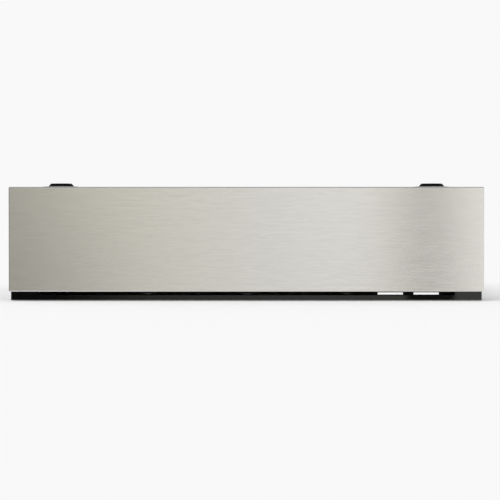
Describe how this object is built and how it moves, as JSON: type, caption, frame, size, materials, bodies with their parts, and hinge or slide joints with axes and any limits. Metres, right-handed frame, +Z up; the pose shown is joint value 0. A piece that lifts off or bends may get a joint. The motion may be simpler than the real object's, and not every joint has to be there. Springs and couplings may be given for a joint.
{
  "type": "warming drawer",
  "caption": "Built-in push-to-open warming drawer with a brushed stainless front, a black bottom trim with an air slot and status lights, ball runners, fan heater and rubber-padded top.",
  "frame": {"origin": "middle of the bounding box in plan, at the underside of the feet", "axes": "+X to the right across the front, +Y to the back, +Z up"},
  "size_m": [0.595, 0.55, 0.1485],
  "materials": {
    "stainless_front": "fine horizontal brushing",
    "stainless_tub": "satin rolled",
    "galvanised_sheet": "galvanised, faint spangle",
    "zinc_plated_steel": "bright zinc plated",
    "bearing_steel": "ground",
    "screw_steel": "plated",
    "black_enamel": "black stove enamel",
    "gloss_black_trim": "polished black",
    "gloss_black_rocker": "moulded, glossy",
    "black_plastic": "moulded, satin",
    "dark_thermoset": "brown moulding compound",
    "grey_plastic": "acetal",
    "cream_thermoplastic": "polyamide",
    "natural_nylon": "nylon",
    "black_rubber": "moulded rubber",
    "silicone_mat": "anti-slip silicone",
    "light_diffuser": "white translucent",
    "circuit_board": "solder mask",
    "mineral_wool": "needled mineral wool",
    "floor_glass": "tinted toughened glass",
    "copper": "drawn copper",
    "aluminium_fan": "pressed sheet",
    "heater_sheath": "heat-darkened sheath",
    "motor_can": "plated can",
    "loom_sleeving": "braided sleeving"
  },
  "bodies": {
    "housing": {"base_panel": "galvanised_sheet", "left_side_panel": "galvanised_sheet", "right_side_panel": "galvanised_sheet", "rear_panel": "galvanised_sheet", "top_cover": "galvanised_sheet", "ceiling_liner": "galvanised_sheet", "ceiling_insulation": "mineral_wool", "front_frame": "black_enamel", "bottom_trim": "gloss_black_trim", "power_light_bar": "light_diffuser", "heat_light_bar": "light_diffuser", "light_board": "circuit_board", "stop_buffers": "black_rubber", "base_feet": "black_rubber", "housing_screws": "screw_steel", "support_pad_front_left": "black_rubber", "support_pad_front_right": "black_rubber", "support_pad_rear_left": "black_rubber", "support_pad_rear_right": "black_rubber", "runner_outer_left": "zinc_plated_steel", "runner_outer_right": "zinc_plated_steel", "runner_screws": "screw_steel", "control_fascia": "black_enamel", "blank_fascia": "black_enamel", "thermostat_body": "dark_thermoset", "capillary_bulb": "copper", "capillary_tube": "copper", "switch_body": "black_plastic", "fan_duct": "galvanised_sheet", "fan_grille": "stainless_tub", "ring_heater": "heater_sheath", "fan_motor": "motor_can", "thermal_cutout": "dark_thermoset", "terminal_block": "cream_thermoplastic", "cable_gland": "black_plastic", "wiring_loom": "loom_sleeving", "loom_clips": "natural_nylon", "latch_body_left": "grey_plastic", "latch_body_right": "grey_plastic"},
    "latch_plungers": {"latch_plunger_left": "grey_plastic", "latch_plunger_right": "grey_plastic"},
    "drawer": {"front_skin": "stainless_front", "front_inner_plate": "black_enamel", "front_insulation": "mineral_wool", "tub": "stainless_tub", "glass_floor": "floor_glass", "floor_mat": "silicone_mat", "carrier_rail_left": "galvanised_sheet", "carrier_rail_right": "galvanised_sheet", "runner_inner_left": "zinc_plated_steel", "runner_inner_right": "zinc_plated_steel", "drawer_screws": "screw_steel"},
    "runner_middles": {"runner_middle_left": "zinc_plated_steel", "runner_middle_right": "zinc_plated_steel"},
    "outer_ball_cages": {"outer_ball_cages": "bearing_steel"},
    "inner_ball_cages": {"inner_ball_cages": "bearing_steel"},
    "thermostat_knob": {"thermostat_knob": "black_plastic"},
    "power_rocker": {"power_rocker": "gloss_black_rocker"},
    "fan": {"fan_wheel": "aluminium_fan", "rotor_shaft": "bearing_steel"}
  },
  "joints": [
    {"name": "press_to_open", "type": "slide", "parent": "housing", "child": "latch_plungers", "axis": [0, -1, 0], "range_m": [-0.003, 0], "stiffness_N_per_m": 2000},
    {"name": "drawer_slide", "type": "slide", "parent": "latch_plungers", "child": "drawer", "axis": [0, -1, 0], "range_m": [0, 0.43]},
    {"name": "middle_slide", "type": "slide", "parent": "housing", "child": "runner_middles", "axis": [0, -1, 0], "range_m": [0, 0.215]},
    {"name": "outer_cage_slide", "type": "slide", "parent": "housing", "child": "outer_ball_cages", "axis": [0, -1, 0], "range_m": [0, 0.1075]},
    {"name": "inner_cage_slide", "type": "slide", "parent": "housing", "child": "inner_ball_cages", "axis": [0, -1, 0], "range_m": [0, 0.3225]},
    {"name": "thermostat_turn", "type": "hinge", "parent": "housing", "child": "thermostat_knob", "pos_m": [0.26, -0.235, 0.108], "axis": [0, 1, 0], "range_deg": [0, 270]},
    {"name": "power_rocker_tilt", "type": "hinge", "parent": "housing", "child": "power_rocker", "pos_m": [0.26, -0.235, 0.0865], "axis": [-1, 0, 0], "range_deg": [0, 20]},
    {"name": "fan_spin", "type": "hinge", "parent": "housing", "child": "fan", "pos_m": [0, 0.23, 0.066], "axis": [0, 1, 0], "continuous": true}
  ],
  "couplings": [
    {"joint": "middle_slide", "follows": "drawer_slide", "ratio": 0.5},
    {"joint": "outer_cage_slide", "follows": "drawer_slide", "ratio": 0.25},
    {"joint": "inner_cage_slide", "follows": "drawer_slide", "ratio": 0.75}
  ]
}
